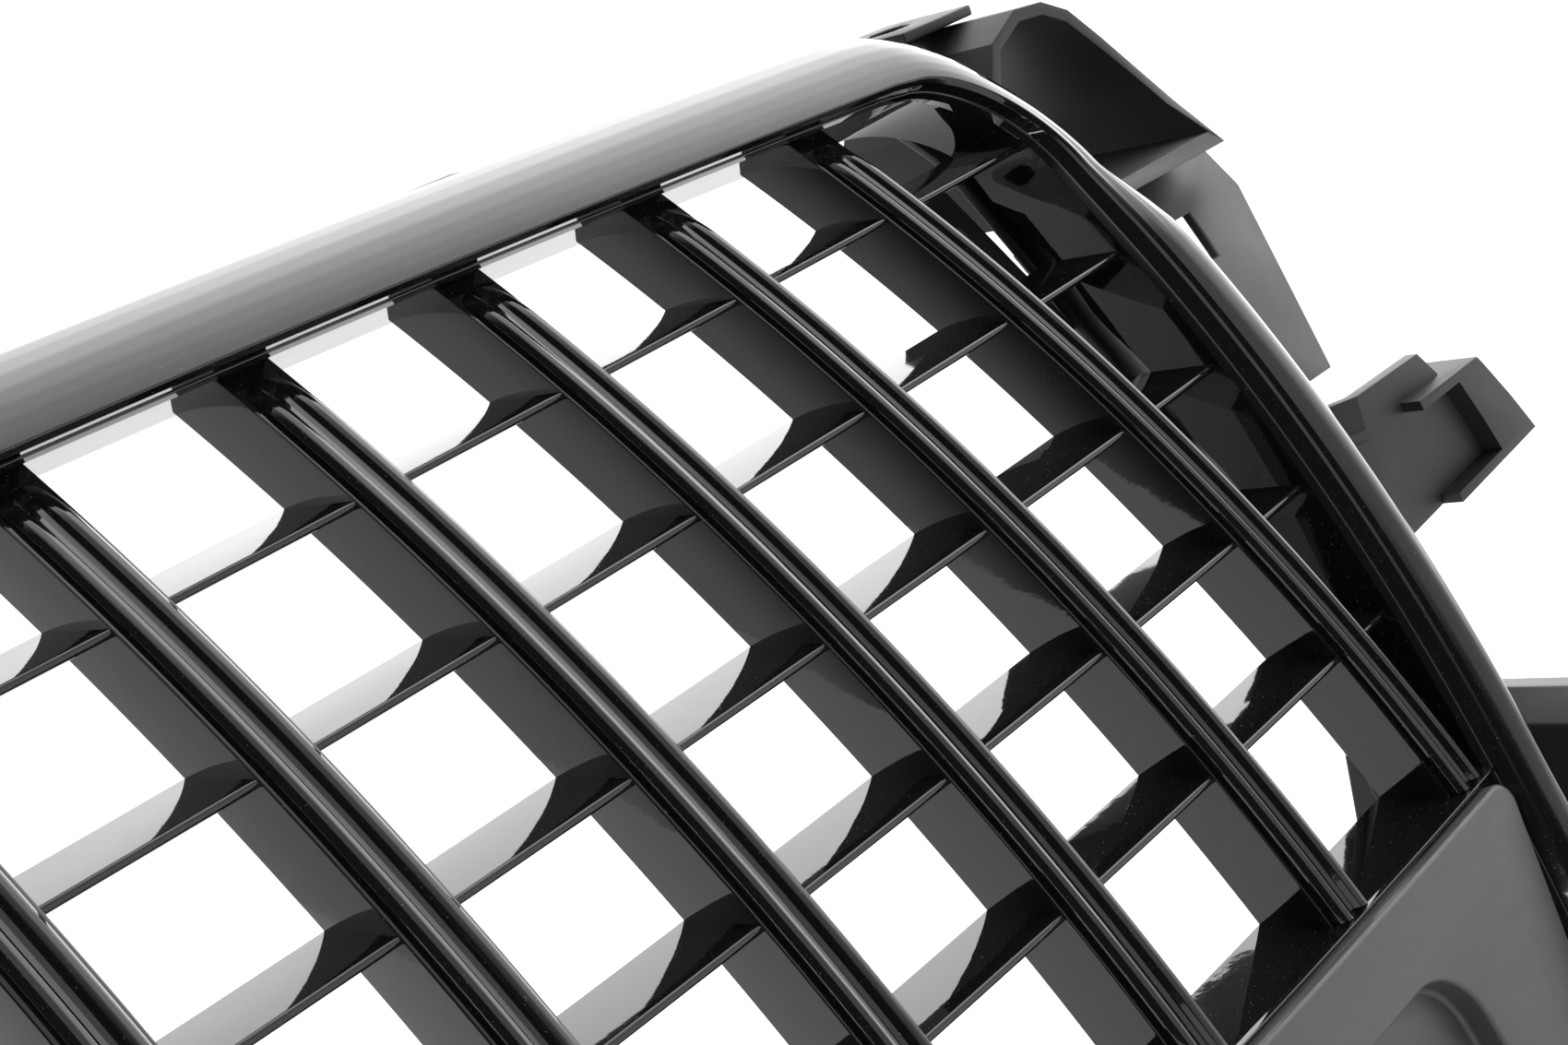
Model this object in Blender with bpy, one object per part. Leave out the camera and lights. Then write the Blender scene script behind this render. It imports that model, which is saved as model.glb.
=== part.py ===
"""Front grille: a gloss surround, an egg-crate grid with trimmed vertical bars, a number-plate
carrier and the matt carrier, ducts and brackets behind them.

Lengths are in metres. Every piece is laid out in the blade frame, where X runs across the
grille, Y runs back along the cross blades and Z is square to them. One empty then tips that
frame by BLADE_TILT, so that the number plate stands upright and the front faces -Y.
"""
import math

import bmesh
import bpy
from mathutils import Vector

# Overall shape
BLADE_TILT = math.radians(17.0)
FRONT_RADIUS = 0.477          # side view: radius of the curved front
FRONT_CENTRE_Z = -0.2866      # height of that radius's centre
PLAN_BOW = 0.17               # plan view: depth gained per metre squared away from the middle
PLAN_DATUM_X = 0.26925        # the front passes through y = 0, z = 0 at this distance
OBJECT_CENTRE = Vector((0.0, -0.0287, 0.0904))   # puts the middle of the whole at the origin
FIT_GAP = 0.0004              # clearance between touching neighbours

# Opening inside the surround
SIDE_X = 0.306                # half width of the opening at z = 0
SIDE_SLOPE = 0.31             # how fast it narrows downwards
TOP_Z = 0.0741
TOP_CROWN = 0.081             # fall of the top edge per metre squared away from the middle
BOTTOM_Z = -0.247
TOP_CORNER = 0.018
BOTTOM_CORNER = 0.030

# Grid
BAR_COUNT = 12
BAR_PITCH = 0.050
BAR_WIDTH = 0.0115
BAR_WALL = 0.0016
BAR_FACE = 0.0035             # thickness of the bar behind its front face
ROW_PITCH = 0.02459
ROW_COUNT = 5
BLADE_THICK = 0.0015
LEDGE_Z = -0.0784
LEDGE_SKIN = 0.0016
GRID_DEPTH = 0.018
DEPTH_GROWTH = 0.036          # the grid is deeper towards the top
LEAST_DEPTH = 0.012
TOP_WALL_DROP = 0.006         # the top wall falls by this much from front to back
WALL = 0.0020
LIP_PROUD = 0.0015
LIP_TOP_PROUD = 0.0022        # what the lip gains along the top
LIP_RISE_START = 0.030        # height where that gain begins
LIP_RISE = 0.040              # and over how much height it comes in
LIP_DEPTH = 0.0032            # the outer walls start behind the surround's lip
LOWER_TOP_Z = -0.1955
LOWER_BLADE_Z = -0.2200

# Bar trims: half of the section, from the edge to the groove (across, proud)
TRIM_HALF = ((4.4, 0.4), (4.4, 1.5), (3.6, 2.6), (2.7, 2.9), (1.6, 2.3))
TRIM_GROOVE = 1.1
TRIM_END_GAP = 0.0016         # from a trim's end to the surround
TRIM_LEVELS = 9
LOWER_TRIM_LEVELS = 3

# Surround sections (outwards, forwards) in millimetres, inner back edge to outer back edge and
# back inside the wall. The sides bulge; the top slopes back from its front edge.
SIDE_SECTION = (
    (0.0, -3.2), (0.0, 0.0), (1.0, 1.8), (1.4, 1.9), (2.4, 6.0), (3.1, 6.6), (3.9, 8.2),
    (5.4, 9.5), (7.4, 10.4), (9.8, 10.5), (12.4, 9.5), (14.8, 7.0), (16.6, 3.0), (17.3, -3.0),
    (16.5, -13.0), (14.2, -23.0), (12.0, -23.0), (14.1, -12.5), (14.9, -3.0), (13.9, 2.6),
    (11.4, 6.6), (9.0, 7.8), (7.0, 6.8), (5.6, -3.2),
)
TOP_SECTION = (
    (0.0, -3.2), (0.0, 0.0), (1.0, 1.8), (1.4, 1.9), (2.4, 5.0), (3.1, 5.6), (3.9, 5.5),
    (5.6, 4.2), (7.4, 2.5), (9.4, 0.4), (11.4, -2.6), (13.2, -6.4), (14.6, -10.6),
    (15.5, -14.6), (15.7, -19.0), (14.8, -23.0), (12.6, -23.0), (13.5, -18.6), (13.1, -14.4),
    (12.2, -10.6), (10.6, -6.8), (8.8, -3.6), (7.0, -1.4), (5.6, -3.2),
)
SECTION_CHANGE = (0.025, 0.060)   # heights between which the section changes
LOWER_SCALE = 0.80            # size of the section low down
SCALE_START = -0.080          # height where it starts to grow
SCALE_RISE = 0.110

# Number-plate carrier, measured down its upright face
PLATE_TOP_Z = -0.0786
PLATE_PROUD = 0.007
PLATE_HEIGHT = 0.116
PLATE_CORNER = 0.0045
PLATE_SIDE_GAP = 0.0026
INSET_CORNER_SHARE = 0.6      # what an inset takes off the corner's radius
RECESS_TOP = 0.0148
RECESS_HEIGHT = 0.089
RECESS_HALF = 0.237
RECESS_CORNER = 0.013
RECESS_DEPTH = 0.006
PLATE_SKIN = 0.0028
PLATE_FLANGE = 0.011

# Rear carrier and what it holds
CARRIER_SETBACK = 0.0250      # front of the carrier ring behind the surround's lip
CARRIER_THICK = 0.003
CARRIER_INNER = 1.0           # millimetres outwards from the lip line
CARRIER_OUTER = 14.0
BACK_PLATE_THICK = 0.0028     # the plates moulded behind the grille
SEAT_GAP = 0.0010             # clearance behind the ring, whose sides are straight between joints
SEAT_COLUMNS = (("ring", 0.0050), ("ring", 0.0150))   # columns of a plate lying on the ring

# Ducts, as (x, z) outlines of their walls and the y of their ends
DUCT_WALL = 0.0030
UPPER_DUCT_OUTLINE = (
    (0.3362, 0.0285), (0.3362, 0.0520), (0.3470, 0.0680), (0.3580, 0.0730), (0.3680, 0.0722),
    (0.3765, 0.0680), (0.3850, 0.0590), (0.3900, 0.0500), (0.3918, 0.0400), (0.3900, 0.0285),
)
DUCT_FRONT = 0.068
DUCT_CUTAWAY = 17.5         # how fast the front sweeps forward below the cut height
DUCT_CUT_Z = 0.064
UPPER_DUCT_BACK = 0.112
LOWER_DUCT_OUTLINE = (
    (0.300, -0.150), (0.312, -0.084), (0.322, -0.080), (0.366, -0.098), (0.362, -0.158),
)
LOWER_DUCT_FRONT = -0.052
LOWER_DUCT_BACK = 0.004

# Side flange, which leans back and flares outwards with height
FLANGE_CLEARANCE = 0.0200   # from the lip line to the flat part
FLANGE_REACH = 0.400
FLANGE_EDGE_X = 0.3713      # outer edge at z = 0
FLANGE_FLARE = 1.33
FLANGE_Y = 0.0272           # front face at z = 0
FLANGE_LEAN = 1.25
FLANGE_COLUMNS = (*SEAT_COLUMNS, 0.0, 0.22, 0.42, 0.66, 1.0)
FLANGE_ROWS = (-0.0165, -0.004, 0.008, 0.017, 0.026)
FLANGE_SLOTS = {(3, 0), (4, 2)}

# Clip rails along the surround's outer edge
RAIL_OFFSET = 0.0178        # from the lip line, at full size of the surround
RAIL_GAP = 0.0012
RAIL_SETBACK = 0.004
RAIL_THICK = 0.003
RAIL_COLUMNS = (0.0, 0.0022, 0.0052, 0.0072)
RAIL_WINDOWS = 3
UPPER_RAIL = (0.000, 0.026)   # heights of its ends
LOWER_RAIL = (-0.056, -0.024)

# Side guide, between its root and a rounded outer edge
GUIDE_ROOT_X = 0.3440
GUIDE_TOP_X = 0.3776
GUIDE_SPREAD = 0.0230
GUIDE_ROUNDING = 0.75
GUIDE_RISE = 0.10
GUIDE_COLUMNS = (*SEAT_COLUMNS, 0.0, 0.05, 0.36, 0.41, 0.74, 0.78, 1.0)
GUIDE_ROWS = (-0.0570, -0.0545, -0.0470, -0.0440, -0.0320, -0.0295, -0.0220)
GUIDE_LAYERS = (-0.006, -0.001, 0.002, 0.014)

# Duct arm, from the carrier ring to the lower duct's wall
ARM_START = 0.004             # from the opening's edge
ARM_END_X = 0.2994            # outer end at z = ARM_END_Z
ARM_END_Z = -0.150
ARM_END_SLOPE = 0.182
ARM_COLUMNS = (0.0, 0.35, 0.7, 1.0)
ARM_ROWS = (-0.145, -0.132, -0.108, -0.095)

# Upper tab, as an (x, y) outline around its hole
UPPER_TAB_OUTLINE = (
    (0.338, 0.084), (0.350, 0.0835), (0.363, 0.084), (0.3635, 0.099), (0.363, 0.110),
    (0.350, 0.113), (0.338, 0.110), (0.3375, 0.099),
)
UPPER_TAB_HOLE = (0.3500, 0.0990)
UPPER_TAB_HOLE_RADIUS = 0.0055
UPPER_TAB_Z = 0.0737
UPPER_TAB_THICK = 0.0025

# Corner bracket, lower tab and top fixing tabs, each with one window in its middle cell
MIDDLE_CELL = {(1, 1)}
BRACKET_COLUMNS = (0.290, 0.298, 0.306, 0.3115)
BRACKET_ROWS = (0.010, 0.020, 0.036, 0.044)
BRACKET_FLARE = 0.18
BRACKET_THICK = 0.0022
LOWER_TAB_COLUMNS = (0.150, 0.158, 0.170, 0.178)
LOWER_TAB_ROWS = (-0.286, -0.277, -0.266, -0.254)
FIXING_TAB_X = (-0.210, -0.070, 0.070, 0.210)
FIXING_TAB_COLUMNS = (-0.014, -0.005, 0.005, 0.014)
FIXING_TAB_DEPTHS = (0.0, 0.010, 0.018, 0.026)
FIXING_TAB_LIFT = 0.0105      # above the opening's top edge
FIXING_TAB_THICK = 0.0026

# Spring clips: layers of the folded strip across, up and back
CLIP_X = (-0.140, 0.0, 0.140)
CLIP_COLUMNS = (-0.006, 0.006)
CLIP_HEIGHTS = (0.0015, 0.0027, 0.0118, 0.0130)
CLIP_DEPTHS = (0.0, 0.0008, 0.0060, 0.0068)

# Screws: dome profile as shares of the head's radius and height
SCREW_HEAD_RADIUS = 0.0042
SCREW_HEAD_HEIGHT = 0.0026
SCREW_PROFILE = ((1.0, 0.0), (1.0, 0.45), (0.72, 0.9), (0.3, 1.0))
SCREW_RIM = 10
CARRIER_SCREW_Z = (("upper", -0.0740), ("lower", -0.1800))
CARRIER_SCREW_REACH = 0.0075  # outwards from the opening's edge
CARRIER_SCREW_GAP = 0.0015
PLATE_SCREW_X = (-0.200, -0.070, 0.070, 0.200)
PLATE_SCREW_GAP = 0.0010
SLOPE_STEP = 0.001            # height step for measuring the ring's slope

# Plain materials (name, grey, roughness, metallic)
GLOSS = ("gloss_black", 0.012, 0.06, 0.0)
SATIN = ("satin_grey_black", 0.06, 0.42, 0.0)
MATT = ("matt_black", 0.05, 0.6, 0.0)
STEEL = ("zinc_steel", 0.55, 0.35, 1.0)

MM = 0.001
SIDES = (("right", 1), ("left", -1))


def clear_scene():
    """Empty the file, so that the part alone is in it."""
    for item in list(bpy.data.objects):
        bpy.data.objects.remove(item, do_unlink=True)


def plastic(name, grey, roughness, metallic):
    """A plain material of the piece's own grey."""
    material = bpy.data.materials.new(name)
    material.use_nodes = True
    shader = material.node_tree.nodes["Principled BSDF"]
    shader.inputs["Base Color"].default_value = (grey, grey, grey, 1.0)
    shader.inputs["Roughness"].default_value = roughness
    shader.inputs["Metallic"].default_value = metallic
    return material


def front_y(x, z):
    """The curved front that the bars and blades reach."""
    bow = FRONT_RADIUS**2 - FRONT_CENTRE_Z**2
    lean = math.sqrt(bow) - math.sqrt(FRONT_RADIUS**2 - (z - FRONT_CENTRE_Z) ** 2)
    return lean + PLAN_BOW * (x * x - PLAN_DATUM_X**2)


def grid_depth(z):
    return max(LEAST_DEPTH, GRID_DEPTH + DEPTH_GROWTH * z)


def side_x(z):
    """Half width of the opening."""
    return SIDE_X + SIDE_SLOPE * z


def top_z(x):
    return TOP_Z - TOP_CROWN * x * x


def smooth_step(share):
    share = min(1.0, max(0.0, share))
    return share * share * (3 - 2 * share)


def lip_y(x, z):
    """The surround's lip stands proud of the grid, most of all along the top."""
    return front_y(x, z) - LIP_PROUD - LIP_TOP_PROUD * smooth_step((z - LIP_RISE_START) / LIP_RISE)


def build(name, verts, faces, material, smooth=False):
    """Make one object of a closed mesh. Its faces all wind one way, and here they point out."""
    mesh = bpy.data.meshes.new(name)
    mesh.from_pydata([tuple(v) for v in verts], [], faces)
    shape = bmesh.new()
    shape.from_mesh(mesh)
    if shape.calc_volume(signed=True) < 0:
        bmesh.ops.reverse_faces(shape, faces=shape.faces)
    shape.to_mesh(mesh)
    shape.free()
    mesh.materials.append(material)
    if smooth:
        mesh.shade_smooth()
        mesh.set_sharp_from_angle(angle=math.radians(35))
    item = bpy.data.objects.new(name, mesh)
    bpy.context.scene.collection.objects.link(item)
    item.parent = bpy.data.objects["blade_frame"]
    return item


def lattice(name, columns, rows, layers, filled, place, material):
    """A solid made of the filled cells of a bent three-way lattice."""
    verts = []
    index = {}
    faces = []

    def vertex(i, k, j):
        if (i, k, j) not in index:
            index[i, k, j] = len(verts)
            verts.append(place(columns[i], rows[k], layers[j]))
        return index[i, k, j]

    counts = (len(columns) - 1, len(rows) - 1, len(layers) - 1)
    corners = ((0, 0), (1, 0), (1, 1), (0, 1))
    for i in range(counts[0]):
        for k in range(counts[1]):
            for j in range(counts[2]):
                if not filled(i, k, j):
                    continue
                for axis in range(3):
                    for side in (0, 1):
                        cell = [i, k, j]
                        cell[axis] += 1 if side else -1
                        inside = all(0 <= cell[a] < counts[a] for a in range(3))
                        if inside and filled(*cell):
                            continue
                        face = []
                        for p, q in corners:
                            at = [i, k, j]
                            at[axis] += side
                            at[(axis + 1) % 3] += p
                            at[(axis + 2) % 3] += q
                            face.append(vertex(*at))
                        faces.append(face if side else face[::-1])
    return build(name, verts, faces, material)


def loft(name, loops, material, smooth=False, ring=False, strips=False):
    """Join loops of equal length. Flat ends get one face each, bent ends strips across them."""
    size = len(loops[0])
    verts = [point for loop in loops for point in loop]
    faces = []
    pairs = [(n, n + 1) for n in range(len(loops) - 1)]
    if ring:
        pairs.append((len(loops) - 1, 0))
    for a, b in pairs:
        for p in range(size):
            q = (p + 1) % size
            faces.append((a * size + p, a * size + q, b * size + q, b * size + p))
    for start in () if ring else (0, (len(loops) - 1) * size):
        caps = [tuple(range(start, start + size))]
        if strips:
            last = start + size - 1
            half = range(size // 2 - 1)
            caps = [(start + p, start + p + 1, last - p - 1, last - p) for p in half]
        faces += caps if start else [cap[::-1] for cap in caps]
    return build(name, verts, faces, material, smooth)


def arc(centre, radius, start, end, steps):
    """Points of an arc, angles in degrees, as (x, z) pairs."""
    found = []
    for n in range(steps + 1):
        angle = math.radians(start + (end - start) * n / steps)
        found.append((centre[0] + radius * math.cos(angle), centre[1] + radius * math.sin(angle)))
    return found


def corner_centre(top):
    """Centre of a corner's arc on the right, a radius inside both edges."""
    radius = TOP_CORNER if top else BOTTOM_CORNER
    z = top_z(side_x(TOP_Z) - TOP_CORNER) - radius if top else BOTTOM_Z + radius
    return Vector((side_x(z) - radius / math.cos(math.atan(SIDE_SLOPE)), z))


def opening_path():
    """The right half of the lip's line as (x, z), from the top middle to the bottom middle."""
    side_angle = -math.degrees(math.atan(SIDE_SLOPE))
    top_centre = corner_centre(True)
    low_centre = corner_centre(False)
    high = arc(top_centre, TOP_CORNER, 88, side_angle, 5)
    low = arc(low_centre, BOTTOM_CORNER, side_angle, -90, 4)
    top_steps, side_steps, low_steps = 9, 7, 6
    points = []
    for n in range(top_steps):
        x = top_centre.x * n / top_steps
        points.append((x, top_z(x)))
    points += high
    for n in range(1, side_steps):
        z = high[-1][1] + (low[0][1] - high[-1][1]) * n / side_steps
        points.append((side_x(z), z))
    points += low
    return points + [(low_centre.x * (1 - n / low_steps), BOTTOM_Z) for n in range(1, low_steps + 1)]


def inside_corner(x, z, grow):
    """Draw a point of the right half back onto the rounded corner of the opening."""
    for top, radius in ((True, TOP_CORNER), (False, BOTTOM_CORNER)):
        centre = corner_centre(top)
        offset = Vector((x, z)) - centre
        outside = offset.x > 0 and (offset.y > 0) == top and offset.length > radius + grow
        if outside:
            offset = offset.normalized() * (radius + grow)
            return centre.x + offset.x, centre.y + offset.y
    return x, z


def closed_path():
    """The whole lip line, with the outward direction at each point."""
    half = opening_path()
    points = half + [(-x, z) for x, z in reversed(half[1:-1])]
    found = []
    count = len(points)
    for n, (x, z) in enumerate(points):
        before = Vector(points[n - 1])
        after = Vector(points[(n + 1) % count])
        along = (after - before).normalized()
        found.append((Vector((x, z)), Vector((-along.y, along.x))))
    return found


def surround_scale(z):
    """The surround is slimmer low down on its sides."""
    share = min(1.0, max(0.0, (z - SCALE_START) / SCALE_RISE))
    return LOWER_SCALE + (1.0 - LOWER_SCALE) * share


def surround_section(z):
    low, high = SECTION_CHANGE
    share = smooth_step((z - low) / (high - low))
    return [Vector(side).lerp(Vector(top), share) for side, top in zip(SIDE_SECTION, TOP_SECTION)]


def band(section_at, scale_by_height=True):
    """Carry the (outwards, forwards) points of a height's section round the lip line."""
    loops = []
    for at, out in closed_path():
        scale = surround_scale(at.y) if scale_by_height else 1.0
        base = lip_y(at.x, at.y)
        loop = []
        for across, forward in section_at(at.y):
            reach = across * scale * MM
            y = base - forward * scale * MM
            loop.append(Vector((at.x + out.x * reach, y, at.y + out.y * reach)))
        loops.append(loop)
    return loops


def make_surround(gloss):
    loft("outer_surround", band(surround_section), gloss, smooth=True, ring=True)


def bar_centres():
    first = -(BAR_COUNT - 1) / 2 * BAR_PITCH
    return [first + n * BAR_PITCH for n in range(BAR_COUNT)]


def inner_bars():
    """The bars that stand on the straight bottom edge, between its corners."""
    straight = side_x(BOTTOM_Z) - BOTTOM_CORNER
    return [x for x in bar_centres() if abs(x) < straight]


def grid_columns(bars):
    """Column lines: side walls as ("side", sign, offset), bars as plain x."""
    columns = [("side", -1, WALL), ("side", -1, 0.0)]
    for x in bars:
        half = BAR_WIDTH / 2
        columns += [x - half, x - half + BAR_WALL, x + half - BAR_WALL, x + half]
    return columns + [("side", 1, 0.0), ("side", 1, WALL)]


def column_x(column, z):
    if isinstance(column, tuple):
        return column[1] * (side_x(z) - FIT_GAP + column[2])
    return column


def grid_solid(name, bars, rows, wall_rows, material):
    """An egg-crate grid: walls round it, bars hollow from behind, thin blades between.

    A row is (height, offset from the top edge); one of the two is None. A layer is the share
    of the depth, with the back of the bars' faces between.
    """
    columns = grid_columns(bars)
    front, face_back, back = 0.0, 0.5, 1.0

    def filled(i, k, j):
        if i in (0, len(columns) - 2) or k in wall_rows:
            return True
        part = (i - 1) % 4
        return part in (1, 3) or (part == 2 and j == 0)

    def place(column, row, layer):
        height, top_offset = row
        z = TOP_Z if height is None else height
        x = column_x(column, z)
        if height is None:
            z = top_z(x) - FIT_GAP + top_offset
            x = column_x(column, z)
        outermost = (isinstance(column, tuple) and column[2] > 0) or top_offset
        grow = WALL - FIT_GAP if outermost else -FIT_GAP
        sign = -1.0 if x < 0 else 1.0
        held, z = inside_corner(abs(x), z, grow)
        x = sign * held
        y = front_y(x, z)
        at_wall = isinstance(column, tuple) or height is None or z < BOTTOM_Z + WALL
        if layer == front and at_wall:
            y = max(y, lip_y(x, z) + LIP_DEPTH * surround_scale(z) + SEAT_GAP)
        if layer == face_back:
            y += BAR_FACE
        if layer == back:
            y += grid_depth(z)
            z -= TOP_WALL_DROP if height is None else 0.0
        return Vector((x, y, z))

    return lattice(name, columns, rows, (front, face_back, back), filled, place, material)


def make_upper_grid(gloss):
    rows = [(LEDGE_Z - LEDGE_SKIN, None), (LEDGE_Z, None)]
    for n in reversed(range(ROW_COUNT)):
        z = (2 - n) * ROW_PITCH
        rows += [(z - BLADE_THICK, None), (z, None)]
    rows += [(None, 0.0), (None, WALL)]
    grid_solid("upper_grid", bar_centres(), rows, set(range(0, len(rows), 2)), gloss)


def make_lower_grid(gloss):
    heights = (
        BOTTOM_Z + FIT_GAP - WALL, BOTTOM_Z + FIT_GAP, LOWER_BLADE_Z - BLADE_THICK,
        LOWER_BLADE_Z, LOWER_TOP_Z - WALL, LOWER_TOP_Z,
    )
    grid_solid("lower_grid", inner_bars(), [(z, None) for z in heights], {0, 2, 4}, gloss)


def trim_section():
    right = list(TRIM_HALF)
    return [(-x, f) for x, f in right] + [(0.0, TRIM_GROOVE)] + [(x, f) for x, f in reversed(right)]


def trim_loops(x, heights):
    loops = []
    for z in heights:
        loop = []
        for across, proud in trim_section():
            at = x + across * MM
            loop.append(Vector((at, front_y(at, z) - proud * MM, z)))
        loops.append(loop)
    return loops


def spread(low, high, count):
    return [low + (high - low) * n / (count - 1) for n in range(count)]


def make_trims(gloss):
    for number, x in enumerate(bar_centres(), start=1):
        heights = spread(LEDGE_Z + FIT_GAP, top_z(x) - TRIM_END_GAP, TRIM_LEVELS)
        loft(f"bar_trim_{number:02d}", trim_loops(x, heights), gloss, smooth=True)


def make_lower_trims(gloss):
    heights = spread(BOTTOM_Z + TRIM_END_GAP, LOWER_TOP_Z - TRIM_END_GAP / 2, LOWER_TRIM_LEVELS)
    for number, x in enumerate(inner_bars(), start=1):
        loft(f"lower_bar_trim_{number}", trim_loops(x, heights), gloss)


def plate_point(x, down, forward):
    """A point of the plate carrier: down its upright face, forward out of it."""
    y = front_y(x, PLATE_TOP_Z) - PLATE_PROUD
    cosine = math.cos(BLADE_TILT)
    sine = math.sin(BLADE_TILT)
    return Vector((
        x,
        y - down * sine - forward * cosine,
        PLATE_TOP_Z - down * cosine + forward * sine,
    ))


def plate_loop(half_top, half_low, top, low, radius, forward):
    """A rounded four-sided loop, bowed in plan: the top left to right, then the bottom back."""
    steps = 4
    inner_steps = 13

    def edge(half, level, sign):
        points = []
        for n in range(steps + 1):
            angle = math.radians(90 * n / steps)
            x = half - radius + radius * math.cos(angle)
            points.append((x, level + sign * radius * (1 - math.sin(angle))))
        left = [(-x, v) for x, v in points]
        reach = half - radius
        middle = [(-reach + 2 * reach * n / inner_steps, level) for n in range(1, inner_steps)]
        return left + middle + list(reversed(points))

    upper = edge(half_top, top, 1)
    lower = list(reversed(edge(half_low, low, -1)))
    return [plate_point(x, v, forward) for x, v in upper + lower]


def make_plate_carrier(satin):
    low_z = PLATE_TOP_Z - PLATE_HEIGHT * math.cos(BLADE_TILT)
    half_top = side_x(PLATE_TOP_Z) - PLATE_SIDE_GAP
    half_low = side_x(low_z) - PLATE_SIDE_GAP
    recess_low = RECESS_TOP + RECESS_HEIGHT
    skin = PLATE_SKIN

    def outer(inset, forward):
        return plate_loop(
            half_top - inset, half_low - inset, inset, PLATE_HEIGHT - inset,
            PLATE_CORNER - inset * INSET_CORNER_SHARE, forward,
        )

    def recess(grow, forward):
        return plate_loop(
            RECESS_HALF + grow, RECESS_HALF + grow, RECESS_TOP - grow, recess_low + grow,
            RECESS_CORNER + grow, forward,
        )

    loops = [
        recess(skin, -RECESS_DEPTH - skin), recess(skin, -skin), outer(skin, -skin),
        outer(skin, -PLATE_FLANGE), outer(0.0, -PLATE_FLANGE), outer(0.0, 0.0),
        recess(0.0, 0.0), recess(0.0, -RECESS_DEPTH),
    ]
    loft("number_plate_carrier", loops, satin, strips=True)


def make_carrier(matt):
    front = -CARRIER_SETBACK / MM
    back = front - CARRIER_THICK / MM
    section = [
        (CARRIER_INNER, front), (CARRIER_OUTER, front), (CARRIER_OUTER, back), (CARRIER_INNER, back),
    ]
    loft("rear_carrier", band(lambda z: section, scale_by_height=False), matt, ring=True)


def ring_back(x, z):
    """Where a piece that sits on the back of the carrier ring, or beside it, starts."""
    lean = math.atan(SIDE_SLOPE)
    reach = max(0.0, abs(x) - side_x(z)) * math.cos(lean)
    lifted = z + reach * math.sin(lean)
    return lip_y(min(abs(x), side_x(lifted)), lifted) + CARRIER_SETBACK + CARRIER_THICK + SEAT_GAP


def seated(column, z, sign, depth):
    """A point of a plate's column that lies on the ring, an offset out from the lip."""
    x = side_x(z) + column[1]
    return Vector((sign * x, ring_back(x, z) + depth, z))


def tube(name, outline, wall, front, back, sign, material):
    """A duct open at both ends; its wall lies inside the outline of (x, z) points.

    Front and back give the y of the duct's ends at a height.
    """
    middle = sum((Vector(p) for p in outline), Vector((0.0, 0.0))) / len(outline)
    loops = []
    for inset, end in ((0.0, front), (0.0, back), (wall, back), (wall, front)):
        loop = []
        count = len(outline)
        for n, point in enumerate(outline):
            here = Vector(point)
            along = (Vector(outline[(n + 1) % count]) - Vector(outline[n - 1])).normalized()
            inward = Vector((-along.y, along.x))
            if inward.dot(middle - here) < 0:
                inward = -inward
            here = here + inward * inset
            loop.append(Vector((here.x * sign, end(here.y), here.y)))
        loops.append(loop)
    return loft(name, loops, material, ring=True)


def make_upper_duct(name, sign, matt):
    """The curved duct box behind the surround's upper corner; its front sweeps forward low down."""
    def front(z):
        return DUCT_FRONT - DUCT_CUTAWAY * max(0.0, DUCT_CUT_Z - z) ** 2

    tube(name, UPPER_DUCT_OUTLINE, DUCT_WALL, front, lambda z: UPPER_DUCT_BACK, sign, matt)


def make_lower_duct(name, sign, matt):
    tube(
        name, LOWER_DUCT_OUTLINE, DUCT_WALL, lambda z: LOWER_DUCT_FRONT,
        lambda z: LOWER_DUCT_BACK, sign, matt,
    )


def plate_with_slots(name, columns, rows, thickness, slots, place, material):
    """A flat plate on a bent base, with rectangular slots given as (column, row) cells."""
    def filled(i, k, j):
        return (i, k) not in slots

    return lattice(name, columns, rows, (0.0, thickness), filled, place, material)


def make_side_flange(name, sign, matt):
    """The flat flange beside the surround, with a slot and a relief window, seated on the ring."""

    def place(share, z, depth):
        if isinstance(share, tuple):
            return seated(share, z, sign, depth)
        inner = side_x(z) + FLANGE_CLEARANCE
        outer = min(FLANGE_REACH, FLANGE_EDGE_X + FLANGE_FLARE * z)
        return Vector((sign * (inner + (outer - inner) * share), FLANGE_Y + FLANGE_LEAN * z + depth, z))

    plate_with_slots(
        name, FLANGE_COLUMNS, FLANGE_ROWS, BACK_PLATE_THICK, FLANGE_SLOTS, place, matt,
    )


def make_side_guide(name, sign, matt):
    """An arm with a tall fin, a hooked rib and a box end that guides the lamp beside it."""
    top, bottom = GUIDE_ROWS[-1], GUIDE_ROWS[0]
    last_column = len(GUIDE_COLUMNS) - 2

    def filled(i, k, j):
        if j == 1:
            return i < last_column or 0 < k < 5
        if k in (0, 4):
            return i >= 2 and (j == 2 or i >= 4)
        if i in (6, last_column) and 0 < k < 4:
            return j == 0 or i == last_column
        return i == 2 and k in (1, 2, 3) and j == 2

    def place(share, z, y):
        if isinstance(share, tuple):
            return seated(share, z, sign, y - GUIDE_LAYERS[1])
        drop = (top - z) / (top - bottom)
        outer = GUIDE_TOP_X + GUIDE_SPREAD * drop ** GUIDE_ROUNDING
        x = GUIDE_ROOT_X + (outer - GUIDE_ROOT_X) * share
        return Vector((sign * x, y, z + GUIDE_RISE * (x - GUIDE_ROOT_X) * drop))

    lattice(name, GUIDE_COLUMNS, GUIDE_ROWS, GUIDE_LAYERS, filled, place, matt)


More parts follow.
